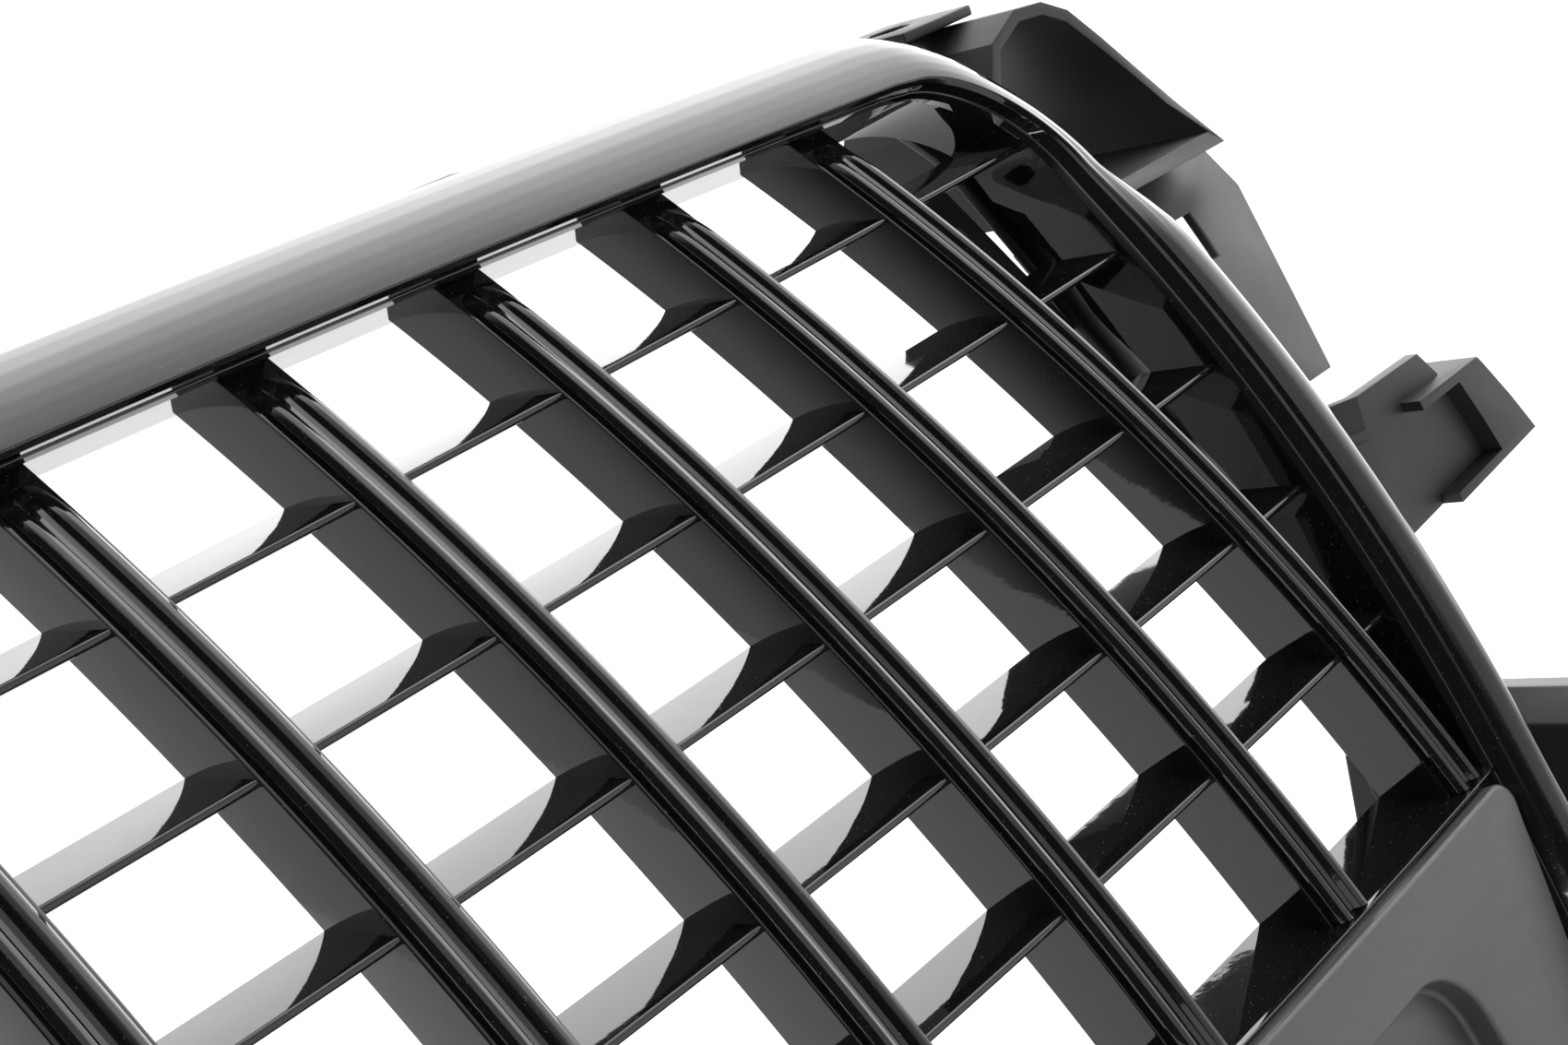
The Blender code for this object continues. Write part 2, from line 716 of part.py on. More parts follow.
def make_duct_arm(name, sign, matt):
    """A plate from the carrier ring to the wall of the lower duct."""
    def place(share, z, depth):
        inner = side_x(z) + ARM_START
        outer = ARM_END_X + ARM_END_SLOPE * (z - ARM_END_Z)
        x = inner + (outer - inner) * share
        return Vector((sign * x, ring_back(x, z) + depth, z))

    plate_with_slots(name, ARM_COLUMNS, ARM_ROWS, BACK_PLATE_THICK, MIDDLE_CELL, place, matt)


def make_clip_rail(name, sign, low, high, matt):
    """A thin notched rail along the surround's outer edge."""
    rows = spread(low, high, 2 * RAIL_WINDOWS + 2)

    def place(offset, z, depth):
        x = side_x(z) + RAIL_OFFSET * surround_scale(z) + RAIL_GAP + offset
        return Vector((sign * x, lip_y(x, z) + RAIL_SETBACK + depth, z))

    slots = {(1, 2 * n + 1) for n in range(RAIL_WINDOWS)}
    plate_with_slots(name, RAIL_COLUMNS, rows, RAIL_THICK, slots, place, matt)


def make_upper_tab(name, sign, matt):
    """A flat tab with a hole, on top behind the corner."""
    centre = Vector(UPPER_TAB_HOLE)
    top = UPPER_TAB_Z + UPPER_TAB_THICK
    loops = []
    for z, holed in ((UPPER_TAB_Z, False), (top, False), (top, True), (UPPER_TAB_Z, True)):
        loop = []
        for corner in UPPER_TAB_OUTLINE:
            point = Vector(corner)
            if holed:
                point = centre + (point - centre).normalized() * UPPER_TAB_HOLE_RADIUS
            loop.append(Vector((point.x * sign, point.y, z)))
        loops.append(loop)
    loft(name, loops, matt, ring=True)


def make_corner_bracket(name, sign, matt):
    """A plate with a window behind the outer column of the grid."""
    def place(x, z, depth):
        x += BRACKET_FLARE * (z - BRACKET_ROWS[0])
        return Vector((sign * x, ring_back(x, z) + depth, z))

    plate_with_slots(name, BRACKET_COLUMNS, BRACKET_ROWS, BRACKET_THICK, MIDDLE_CELL, place, matt)


def make_lower_tab(name, sign, matt):
    """A locating tab under the surround."""
    def place(x, z, depth):
        return Vector((sign * x, ring_back(x, BOTTOM_Z) + depth, z))

    plate_with_slots(
        name, LOWER_TAB_COLUMNS, LOWER_TAB_ROWS, BACK_PLATE_THICK, MIDDLE_CELL, place, matt,
    )


def make_fixing_tab(name, centre, matt):
    """A flat fixing tab on the top edge, with a square hole."""
    top = top_z(centre)
    base = Vector((centre, ring_back(centre, top), top + FIXING_TAB_LIFT))

    def place(x, y, z):
        return base + Vector((x, y, z))

    plate_with_slots(
        name, FIXING_TAB_COLUMNS, FIXING_TAB_DEPTHS, FIXING_TAB_THICK, MIDDLE_CELL, place, matt,
    )


def make_spring_clip(name, centre, steel):
    """A folded steel clip over the carrier ring's back, with one leg standing off it."""
    base = Vector((centre, ring_back(centre, top_z(centre)), top_z(centre)))

    def filled(i, k, j):
        return k == 2 or j == 0 or (j == 2 and k > 0)

    def place(x, z, y):
        return base + Vector((x, y, z))

    lattice(name, CLIP_COLUMNS, CLIP_HEIGHTS, CLIP_DEPTHS, filled, place, steel)


def make_screw(name, at, back, steel):
    """A dome-headed screw standing on a face that looks along back."""
    side = Vector((1.0, 0.0, 0.0))
    up = back.cross(side).normalized()
    loops = []
    for radius, height in SCREW_PROFILE:
        loop = []
        for n in range(SCREW_RIM):
            angle = 2 * math.pi * n / SCREW_RIM
            spoke = side * math.cos(angle) + up * math.sin(angle)
            loop.append(at + spoke * radius * SCREW_HEAD_RADIUS + back * height * SCREW_HEAD_HEIGHT)
        loops.append(loop)
    loft(name, loops, steel)


def ring_seat(z, reach):
    """A point on the right side of the carrier ring's back face, and the way that face looks."""
    lean = math.atan(SIDE_SLOPE)
    above, below = z + SLOPE_STEP, z - SLOPE_STEP
    rise = lip_y(side_x(above), above) - lip_y(side_x(below), below)
    slope = rise * math.cos(lean) / (above - below)
    y = lip_y(side_x(z), z) + CARRIER_SETBACK + CARRIER_THICK
    at = Vector((side_x(z) + reach * math.cos(lean), y, z - reach * math.sin(lean)))
    looks = Vector((-slope * math.sin(lean), 1.0, -slope * math.cos(lean))).normalized()
    return at, looks


def make_carrier_screws(steel):
    """Screws in the sides of the carrier ring, seen from behind."""
    for level, z in CARRIER_SCREW_Z:
        at, looks = ring_seat(z, CARRIER_SCREW_REACH)
        at += looks * CARRIER_SCREW_GAP
        for side, sign in SIDES:
            turned = Vector((sign, 1.0, 1.0))
            make_screw(f"carrier_screw_{level}_{side}", at * turned, looks * turned, steel)


def make_plate_screws(steel):
    """Screws that hold the plate carrier, on the back of its recess."""
    back = Vector((0.0, math.cos(BLADE_TILT), -math.sin(BLADE_TILT)))
    middle = RECESS_TOP + RECESS_HEIGHT / 2
    for number, x in enumerate(PLATE_SCREW_X, start=1):
        at = plate_point(x, middle, -RECESS_DEPTH - PLATE_SKIN - PLATE_SCREW_GAP)
        make_screw(f"plate_screw_{number}", at, back, steel)


def main():
    clear_scene()
    frame = bpy.data.objects.new("blade_frame", None)
    bpy.context.scene.collection.objects.link(frame)
    frame.rotation_euler = (BLADE_TILT, 0.0, 0.0)
    frame.location = OBJECT_CENTRE
    gloss = plastic(*GLOSS)
    satin = plastic(*SATIN)
    matt = plastic(*MATT)
    steel = plastic(*STEEL)
    make_surround(gloss)
    make_upper_grid(gloss)
    make_lower_grid(gloss)
    make_trims(gloss)
    make_lower_trims(gloss)
    make_plate_carrier(satin)
    make_carrier(matt)
    for side, sign in SIDES:
        make_upper_duct(f"upper_duct_{side}", sign, matt)
        make_lower_duct(f"lower_duct_{side}", sign, matt)
        make_duct_arm(f"duct_arm_{side}", sign, matt)
        make_side_flange(f"side_flange_{side}", sign, matt)
        make_side_guide(f"side_guide_{side}", sign, matt)
        make_clip_rail(f"upper_clip_rail_{side}", sign, *UPPER_RAIL, matt)
        make_clip_rail(f"lower_clip_rail_{side}", sign, *LOWER_RAIL, matt)
        make_upper_tab(f"upper_tab_{side}", sign, matt)
        make_corner_bracket(f"corner_bracket_{side}", sign, matt)
        make_lower_tab(f"lower_tab_{side}", sign, matt)
    for number, centre in enumerate(FIXING_TAB_X, start=1):
        make_fixing_tab(f"top_fixing_tab_{number}", centre, matt)
    for number, centre in enumerate(CLIP_X, start=1):
        make_spring_clip(f"spring_clip_{number}", centre, steel)
    make_carrier_screws(steel)
    make_plate_screws(steel)


main()
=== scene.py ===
"""Looks of the front grille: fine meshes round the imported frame, materials, light and camera.

Lengths are in metres. The shapes are laid out in the blade frame, where X runs across the
grille, Y runs back along the cross blades and Z is square to them, and are then tipped by
BLADE_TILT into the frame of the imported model.
"""
import math

import bmesh
import bpy
import numpy as np
from mathutils import Matrix, Vector


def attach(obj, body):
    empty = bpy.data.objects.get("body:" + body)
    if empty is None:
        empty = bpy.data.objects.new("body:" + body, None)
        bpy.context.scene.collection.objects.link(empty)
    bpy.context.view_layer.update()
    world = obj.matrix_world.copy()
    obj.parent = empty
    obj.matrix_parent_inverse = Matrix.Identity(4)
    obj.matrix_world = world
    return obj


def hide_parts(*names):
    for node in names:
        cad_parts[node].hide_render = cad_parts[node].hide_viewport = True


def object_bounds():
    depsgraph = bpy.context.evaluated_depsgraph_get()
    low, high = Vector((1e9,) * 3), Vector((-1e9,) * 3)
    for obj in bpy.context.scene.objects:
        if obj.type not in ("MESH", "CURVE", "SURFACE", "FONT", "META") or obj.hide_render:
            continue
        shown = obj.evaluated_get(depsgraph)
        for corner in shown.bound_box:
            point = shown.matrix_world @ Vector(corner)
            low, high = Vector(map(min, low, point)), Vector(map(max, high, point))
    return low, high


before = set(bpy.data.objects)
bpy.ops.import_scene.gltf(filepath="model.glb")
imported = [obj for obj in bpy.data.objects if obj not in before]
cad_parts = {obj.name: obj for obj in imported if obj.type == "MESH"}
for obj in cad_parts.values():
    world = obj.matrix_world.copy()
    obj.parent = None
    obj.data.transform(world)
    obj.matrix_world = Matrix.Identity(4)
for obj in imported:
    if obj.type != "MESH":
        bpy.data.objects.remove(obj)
CAD_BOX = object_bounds()

MM = 0.001
SIDES = (("right", 1), ("left", -1))

# Overall shape, as in the CAD part
BLADE_TILT = math.radians(17.0)
OBJECT_CENTRE = Vector((0.0, -0.0287, 0.0904))
FRONT_RADIUS = 0.477
FRONT_CENTRE_Z = -0.2866
PLAN_BOW = 0.17
PLAN_DATUM_X = 0.26925
SIDE_X = 0.306
SIDE_SLOPE = 0.31
TOP_Z = 0.0741
TOP_CROWN = 0.081
BOTTOM_Z = -0.247
TOP_CORNER = 0.018
BOTTOM_CORNER = 0.030
LIP_PROUD = 0.0015
LIP_TOP_PROUD = 0.0022        # what the lip gains along the top
LIP_RISE_START = 0.030        # height where that gain begins
LIP_RISE = 0.040              # and over how much height it comes in
LOWER_SCALE = 0.80            # size of the surround's section low down
SCALE_START = -0.080          # height where it starts to grow
SCALE_RISE = 0.110

# Grid
BAR_COUNT = 12
LOWER_BAR_COUNT = 8
BAR_PITCH = 0.050
BAR_WIDTH = 0.0115
BAR_WALL = 0.0016
BAR_FACE = 0.0035
ROW_PITCH = 0.02459
ROW_COUNT = 5
BLADE_THICK = 0.0015
LEDGE_Z = -0.0784
GRID_DEPTH = 0.018
DEPTH_GROWTH = 0.036
LEAST_DEPTH = 0.012
TOP_WALL_DROP = 0.006
WALL = 0.0018
WALL_WAVE = 0.0022            # scallops of the side wall's back edge
WALL_START = 0.0030           # the wall's front edge behind the lip
LOWER_WALL_START = 0.0028
LOWER_TOP_Z = -0.1955
LOWER_BLADE_Z = -0.2200
ROOT_DEPTH = 0.001            # how far bars and walls run into the ledge
BAR_END_GAP = 0.0004
LOWER_BAR_END_GAP = 0.0005

# Corners of the grid's sections, in millimetres
BAR_CORNER = 0.5
BAR_BACK_CORNER = 0.2
BAR_FILLET = 0.6
BLADE_NOSE_SHARE = 0.45       # of the blade's thickness
BLADE_DRAFT = 0.3             # the blade thickens by this much towards its back
# The ledge, whose front rolls down, as (back, up, corner radius)
LEDGE_OUTLINE = (
    (15.2, 0.0, 0.0), (-2.4, 0.0, 3.0), (-3.9, 0.15, 0.25), (-3.9, -0.75, 0.25),
    (-3.2, -0.75, 0.5), (0.5, -1.5, 1.0), (15.2, -1.5, 0.0),
)

# Points along the pieces
BAR_LEVELS = 46
LOWER_BAR_LEVELS = 12
BLADE_STATIONS = 120
LOWER_BLADE_STATIONS = 90
LEDGE_STATIONS = 140
TRIM_LEVELS = 52
LOWER_TRIM_LEVELS = 12

# Number-plate carrier, measured down its upright face
PLATE_TOP_Z = -0.0786
PLATE_PROUD = 0.007
PLATE_HEIGHT = 0.116
PLATE_CORNER = 0.0045
PLATE_SIDE_GAP = 0.0026
RECESS_TOP = 0.0148
RECESS_HEIGHT = 0.089
RECESS_HALF = 0.237
RECESS_CORNER = 0.013
RECESS_DEPTH = 0.006
PLATE_SKIN = 0.0028
PLATE_FLANGE = 0.011
INSET_CORNER_SHARE = 0.6      # what an inset takes off the corner's radius
PLATE_EDGE_ROUND = 0.0011
RECESS_EDGE_ROUND = 0.0009
RECESS_FILLET = 0.0012
ROUND_ANGLES = [math.radians(a) for a in (0, 18, 36, 54, 72, 90)]

# Surround sections in millimetres, as (outwards, forwards), and their corners' radii.
# The sides bulge; the top slopes back from its front edge.
SIDE_SECTION = (
    (0.0, -3.2), (0.0, 0.0), (1.0, 1.8), (1.4, 1.9), (2.4, 6.0), (3.1, 6.6), (3.7, 8.0),
    (5.4, 9.6), (7.4, 10.5), (9.8, 10.7), (12.4, 9.7), (14.8, 7.2), (16.7, 3.0), (17.5, -3.0),
    (16.6, -13.0), (14.2, -23.0), (12.0, -23.0), (14.1, -12.5), (14.9, -3.0), (13.9, 2.6),
    (11.4, 6.6), (9.0, 7.8), (7.0, 6.8), (5.6, -3.2),
)
TOP_SECTION = (
    (0.0, -3.2), (0.0, 0.0), (1.0, 1.8), (1.4, 1.9), (2.4, 5.0), (3.1, 5.5), (3.7, 5.9),
    (5.6, 4.4), (7.4, 2.7), (9.4, 0.4), (11.4, -2.6), (13.2, -6.4), (14.6, -10.6),
    (15.6, -14.6), (15.8, -19.0), (14.8, -23.0), (12.6, -23.0), (13.5, -18.6), (13.1, -14.4),
    (12.2, -10.6), (10.6, -6.8), (8.8, -3.6), (7.0, -1.4), (5.6, -3.2),
)
SECTION_RADII = (
    (0.0, 0.35, 0.25, 0.3, 0.3, 0.3, 0.6) + 8 * (12.0,) + 2 * (0.3,) + 6 * (3.0,) + (0.0,)
)
SECTION_CHANGE = (0.025, 0.060)   # heights between which the section changes

# Half of a bar trim, as (across, proud of the bar's face, corner radius)
TRIM_PROFILE = (
    (-4.5, -0.35, 0.0), (-4.5, 1.5, 0.5), (-3.6, 2.7, 0.7), (-2.6, 2.9, 0.6), (-1.7, 2.5, 0.45),
    (-1.0, 1.2, 0.35), (0.0, 1.0, 0.3),
)
TRIM_CROWN = 0.0015           # height of the smooth crown that the ridges run out into
TRIM_CROWN_HALF = 4.6 * MM
TRIM_RUN_OUT = 0.009          # length over which they do
TRIM_CURL_LENGTH = 0.0065
TRIM_CURL = 0.0040            # how far the top end curls back
TRIM_FOOT_GAP = 0.0002
TRIM_TOP_GAP = 0.0006
LOWER_TRIM_FOOT_GAP = 0.0016
LOWER_TRIM_TOP_GAP = 0.0008

# Rounded edges of the pieces behind the grille
SIDE_PIECE_ROUNDS = (
    ("upper_duct", 0.0008), ("lower_duct", 0.0008), ("duct_arm", 0.0005), ("side_flange", 0.0005),
    ("side_guide", 0.0004), ("upper_clip_rail", 0.0004), ("lower_clip_rail", 0.0004),
    ("upper_tab", 0.0005), ("corner_bracket", 0.0005), ("lower_tab", 0.0005),
)
CARRIER_ROUND = 0.0006
TAB_ROUND = 0.0005
SCREW_ROUND = 0.0003
CLIP_ROUND = 0.0002
ROUND_SEGMENTS = 2
FLAT_ANGLE = math.radians(0.6)    # faces that turn by less are joined first
HARD_ANGLE = math.radians(28)     # edges that turn by more are rounded
SMOOTH_ANGLE = math.radians(42)   # edges that turn by less are shaded smooth

# Floor, surroundings and camera
FLOOR_HALF = 6.0
FLOOR_GAP = 0.001
GLOW_FROM = (0.75, 0.10, 0.65)
SIDE_GLOW_FROM = (1.0, 0.0, 0.1)
CARD_FROM = (-0.9, -0.43, 0.0)
ROOM_COLOUR = (1.0, 0.997, 0.994, 1.0)
STRIP_PLACE = (-2.2, -0.35, 0.0)
STRIP_AIM = (0.2, 0.0, 0.0)
STRIP_SIZE = (0.10, 1.6)
STRIP_POWER = 14.0
STRIP_COLOUR = (0.93, 0.97, 1.0)
CAMERA_PLACE = (-0.132956, -0.381615, 0.114698)
CAMERA_TURN = (89.1718, 30.4287, -42.1032)      # degrees
CAMERA_LENS = 63.562
CAMERA_SENSOR = 36.0
CAMERA_NEAR = 0.01

BLADE_FRAME = Matrix.Translation(OBJECT_CENTRE) @ Matrix.Rotation(BLADE_TILT, 4, "X")


# ---------------------------------------------------------------- shape rules

def front_y(x, z):
    """The curved front that the bars and blades reach."""
    bow = FRONT_RADIUS**2 - FRONT_CENTRE_Z**2
    lean = math.sqrt(bow) - np.sqrt(FRONT_RADIUS**2 - (z - FRONT_CENTRE_Z) ** 2)
    return lean + PLAN_BOW * (x * x - PLAN_DATUM_X**2)


def grid_depth(z):
    return np.maximum(LEAST_DEPTH, GRID_DEPTH + DEPTH_GROWTH * z)


def side_x(z):
    return SIDE_X + SIDE_SLOPE * z


def top_z(x):
    return TOP_Z - TOP_CROWN * x * x


def smooth(share):
    share = np.clip(share, 0.0, 1.0)
    return share * share * (3.0 - 2.0 * share)


def lip_y(x, z):
    """The surround's lip stands proud of the grid, most of all along the top."""
    return front_y(x, z) - LIP_PROUD - LIP_TOP_PROUD * smooth((z - LIP_RISE_START) / LIP_RISE)


def surround_scale(z):
    share = np.clip((z - SCALE_START) / SCALE_RISE, 0.0, 1.0)
    return LOWER_SCALE + (1.0 - LOWER_SCALE) * share


def bar_centres(count):
    return [(n - (count - 1) / 2) * BAR_PITCH for n in range(count)]


# ---------------------------------------------------------------- mesh making

def filleted(points, steps=5, scale=MM):
    """Round the corners of an open outline of (a, b, radius) points."""
    found = []
    for n, (a, b, radius) in enumerate(points):
        here = Vector((a, b))
        if radius == 0.0 or n in (0, len(points) - 1):
            found.append(here * scale)
            continue
        back = Vector(points[n - 1][:2]) - here
        ahead = Vector(points[n + 1][:2]) - here
        turn = back.angle(ahead)
        reach = min(radius / math.tan(turn / 2), back.length * 0.48, ahead.length * 0.48)
        start = here + back.normalized() * reach
        end = here + ahead.normalized() * reach
        for k in range(steps + 1):
            t = k / steps
            found.append(((1 - t) ** 2 * start + 2 * t * (1 - t) * here + t * t * end) * scale)
    return np.array([tuple(p) for p in found])


def grid_faces(rows, columns, close_rows=False, close_columns=True):
    """Quads between a lattice of points stored row by row."""
    faces = []
    for r in range(rows if close_rows else rows - 1):
        for c in range(columns if close_columns else columns - 1):
            q = (c + 1) % columns
            s = (r + 1) % rows
            faces.append((r * columns + c, r * columns + q, s * columns + q, s * columns + c))
    return faces


class Shell:
    """Gathers closed lofts, each wound outwards, into one mesh."""

    def __init__(self):
        self.verts = []
        self.faces = []

    def loft(self, loops, ring=False, strips=False):
        """Add a loft. Open lofts are capped, with strips where the cap is bent."""
        loops = np.asarray(loops, float)
        rows, columns = loops.shape[:2]
        faces = grid_faces(rows, columns, close_rows=ring)
        for start in () if ring else (0, (rows - 1) * columns):
            caps = [tuple(range(start, start + columns))]
            if strips:
                last = start + columns - 1
                caps = [
                    (start + p, start + p + 1, last - p - 1, last - p)
                    for p in range(columns // 2 - 1)
                ]
            faces += caps if start else [cap[::-1] for cap in caps]
        points = loops.reshape(-1, 3)
        middle = points.mean(axis=0)
        volume = 0.0
        for face in faces:
            corners = points[list(face)] - middle
            for k in range(1, len(corners) - 1):
                volume += np.dot(corners[0], np.cross(corners[k], corners[k + 1]))
        offset = len(self.verts)
        self.verts += [tuple(p) for p in points]
        for face in faces:
            ordered = face if volume > 0 else face[::-1]
            self.faces.append(tuple(offset + v for v in ordered))

    def finish(self, name, material, nodes, sharp=32.0):
        """Make the object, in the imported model's frame, standing for those nodes."""
        mesh = bpy.data.meshes.new(name)
        mesh.from_pydata(self.verts, [], self.faces)
        mesh.transform(BLADE_FRAME)
        mesh.materials.append(material)
        mesh.shade_smooth()
        mesh.set_sharp_from_angle(angle=math.radians(sharp))
        item = bpy.data.objects.new(name, mesh)
        bpy.context.scene.collection.objects.link(item)
        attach(item, "root")
        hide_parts(*nodes)
        return item


def softened(node, width, material):
    """A CAD piece with its hard edges rounded."""
    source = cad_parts[node].data
    shape = bmesh.new()
    shape.from_mesh(source)
    bmesh.ops.remove_doubles(shape, verts=shape.verts, dist=1e-6)
    bmesh.ops.dissolve_limit(
        shape, angle_limit=FLAT_ANGLE, verts=shape.verts, edges=shape.edges,
    )
    hard = [e for e in shape.edges if e.is_manifold and e.calc_face_angle(0.0) > HARD_ANGLE]
    bmesh.ops.bevel(
        shape, geom=hard, offset=width, segments=ROUND_SEGMENTS, profile=0.6, affect="EDGES",
        clamp_overlap=True,
    )
    mesh = bpy.data.meshes.new(f"fine_{node}")
    shape.to_mesh(mesh)
    shape.free()
    mesh.materials.append(material)
    mesh.shade_smooth()
    mesh.set_sharp_from_angle(angle=SMOOTH_ANGLE)
    item = bpy.data.objects.new(f"fine_{node}", mesh)
    bpy.context.scene.collection.objects.link(item)
    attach(item, "root")
    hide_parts(node)
    return item


# ---------------------------------------------------------------- materials

class Nodes:
    """A short way to write a material's nodes."""

    def __init__(self, name):
        self.material = bpy.data.materials.new(name)
        self.material.use_nodes = True
        self.tree = self.material.node_tree
        self.shader = self.tree.nodes["Principled BSDF"]
        self.place = self.add("ShaderNodeTexCoord").outputs["Object"]

    def add(self, kind, **values):
        node = self.tree.nodes.new(kind)
        for key, value in values.items():
            if hasattr(node, key):
                setattr(node, key, value)
            else:
                node.inputs[key.replace("_", " ")].default_value = value
        return node

    def link(self, source, target):
        self.tree.links.new(source, target)

    def noise(self, scale, detail=3.0, roughness=0.5, distortion=0.0):
        node = self.add("ShaderNodeTexNoise", Scale=scale, Detail=detail, Roughness=roughness)
        node.inputs["Distortion"].default_value = distortion
        self.link(self.place, node.inputs["Vector"])
        return node.outputs["Fac"]

    def ramp(self, source, low, high, out_low, out_high):
        """Spread source between low and high over out_low to out_high."""
        node = self.add("ShaderNodeMapRange")
        for key, value in (
            ("From Min", low), ("From Max", high), ("To Min", out_low), ("To Max", out_high),
        ):
            node.inputs[key].default_value = value
        self.link(source, node.inputs["Value"])
        return node.outputs["Result"]

    def maths(self, operation, a, b):
        node = self.add("ShaderNodeMath", operation=operation)
        for socket, value in zip(node.inputs, (a, b)):
            if isinstance(value, (int, float)):
                socket.default_value = value
            else:
                self.link(value, socket)
        return node.outputs[0]

    def blend(self, share, low, high):
        node = self.add("ShaderNodeMix", data_type="RGBA")
        colours = [socket for socket in node.inputs if socket.type == "RGBA"]
        for socket, colour in zip(colours, (low, high)):
            socket.default_value = (*colour, 1.0)
        self.link(share, node.inputs["Factor"])
        return [s for s in node.outputs if s.type == "RGBA"][0]

    def bump(self, heights):
        """Stack bumps, each as (height, strength, distance)."""
        last = None
        for height, strength, distance in heights:
            node = self.add("ShaderNodeBump")
            node.inputs["Strength"].default_value = strength
            node.inputs["Distance"].default_value = distance
            self.link(height, node.inputs["Height"])
            if last:
                self.link(last.outputs["Normal"], node.inputs["Normal"])
            last = node
        self.link(last.outputs["Normal"], self.shader.inputs["Normal"])


def gloss_plastic():
    """Painted gloss black: a deep mirror finish with faint orange peel and a little dust."""
    n = Nodes("gloss_black")
    shader = n.shader
    specks = n.ramp(n.noise(2600.0, 1.0), 0.735, 0.775, 0.0, 1.0)
    haze = n.ramp(n.noise(38.0, 4.0, 0.6), 0.35, 0.75, 0.0, 1.0)
    tone = n.blend(specks, (0.0045, 0.0045, 0.005), (0.09, 0.088, 0.085))
    n.link(tone, shader.inputs["Base Color"])
    rough = n.maths("ADD", n.ramp(haze, 0.0, 1.0, 0.022, 0.060), n.maths("MULTIPLY", specks, 0.30))
    n.link(rough, shader.inputs["Roughness"])
    shader.inputs["IOR"].default_value = 1.5
    peel = n.noise(420.0, 2.0)
    wave = n.noise(70.0, 1.0)
    n.bump([(wave, 0.10, 0.0006), (peel, 0.05, 0.00012)])
    return n.material


def satin_plastic():
    """Unpainted satin plastic with a fine spark-eroded grain."""
    n = Nodes("satin_grey_black")
    shader = n.shader
    grain = n.noise(2400.0, 2.0, 0.65)
    cloud = n.noise(24.0, 4.0)
    tone = n.blend(n.ramp(cloud, 0.3, 0.7, 0.0, 1.0), (0.044, 0.044, 0.046), (0.054, 0.0535, 0.055))
    n.link(tone, shader.inputs["Base Color"])
    n.link(n.ramp(n.noise(300.0, 3.0), 0.3, 0.7, 0.36, 0.46), shader.inputs["Roughness"])
    n.bump([(grain, 0.16, 0.00008), (n.noise(900.0, 2.0), 0.08, 0.0001)])
    return n.material


def matt_plastic():
    """Plain moulded black plastic: soft sheen, flow marks and scuffs."""
    n = Nodes("matt_black")
    shader = n.shader
    cloud = n.noise(30.0, 5.0, 0.6)
    scuff = n.ramp(n.noise(160.0, 6.0, 0.75, 0.6), 0.60, 0.72, 0.0, 1.0)
    tone = n.blend(n.ramp(cloud, 0.3, 0.7, 0.0, 1.0), (0.017, 0.017, 0.0175), (0.025, 0.0245, 0.025))
    n.link(tone, shader.inputs["Base Color"])
    rough = n.maths("ADD", n.ramp(cloud, 0.3, 0.7, 0.42, 0.54), n.maths("MULTIPLY", scuff, 0.12))
    n.link(rough, shader.inputs["Roughness"])
    shader.inputs["Specular IOR Level"].default_value = 0.32
    n.bump([(n.noise(1500.0, 2.0), 0.10, 0.0001), (cloud, 0.10, 0.0004)])
    return n.material


def zinc_steel():
    """Zinc-plated steel, lightly brushed, with duller passivated patches."""
    n = Nodes("zinc_steel")
    shader = n.shader
    shader.inputs["Metallic"].default_value = 1.0
    cloud = n.noise(180.0, 4.0, 0.6)
    tone = n.blend(n.ramp(cloud, 0.3, 0.7, 0.0, 1.0), (0.50, 0.51, 0.53), (0.66, 0.66, 0.63))
    n.link(tone, shader.inputs["Base Color"])
    n.link(n.ramp(cloud, 0.3, 0.7, 0.24, 0.42), shader.inputs["Roughness"])
    n.bump([(n.noise(2600.0, 3.0), 0.12, 0.00008)])
    return n.material


GLOSS = gloss_plastic()
SATIN = satin_plastic()
MATT = matt_plastic()
STEEL = zinc_steel()


# ---------------------------------------------------------------- surround

def arc_points(centre, radius, start, end, steps):
    angles = np.radians(np.linspace(start, end, steps + 1))
    return np.stack([centre[0] + radius * np.cos(angles), centre[1] + radius * np.sin(angles)], 1)


def corner_centre(top):
    radius = TOP_CORNER if top else BOTTOM_CORNER
    z = top_z(side_x(TOP_Z) - TOP_CORNER) - radius if top else BOTTOM_Z + radius
    return side_x(z) - radius / math.cos(math.atan(SIDE_SLOPE)), z


def lip_path():
    """Points of the lip line, once round, with the outward direction at each."""
    side_angle = -math.degrees(math.atan(SIDE_SLOPE))
    high_centre = corner_centre(True)
    low_centre = corner_centre(False)
    top_slope = math.degrees(math.atan(2 * TOP_CROWN * high_centre[0]))
    top_steps, side_steps, low_steps, arc_steps = 60, 64, 36, 22
    x = np.linspace(0.0, high_centre[0], top_steps, endpoint=False)
    top = np.stack([x, top_z(x)], 1)
    high = arc_points(high_centre, TOP_CORNER, 90 - top_slope, side_angle, arc_steps)
    low = arc_points(low_centre, BOTTOM_CORNER, side_angle, -90, arc_steps)
    z = np.linspace(high[-1][1], low[0][1], side_steps)[1:-1]
    side = np.stack([side_x(z), z], 1)
    x = np.linspace(low_centre[0], 0.0, low_steps)[1:]
    bottom = np.stack([x, np.full(len(x), BOTTOM_Z)], 1)
    half = np.concatenate([top, high, side, low, bottom])
    points = np.concatenate([half, half[-2:0:-1] * (-1, 1)])
    along = np.roll(points, -1, axis=0) - np.roll(points, 1, axis=0)
    along /= np.linalg.norm(along, axis=1)[:, None]
    return points, np.stack([-along[:, 1], along[:, 0]], 1)


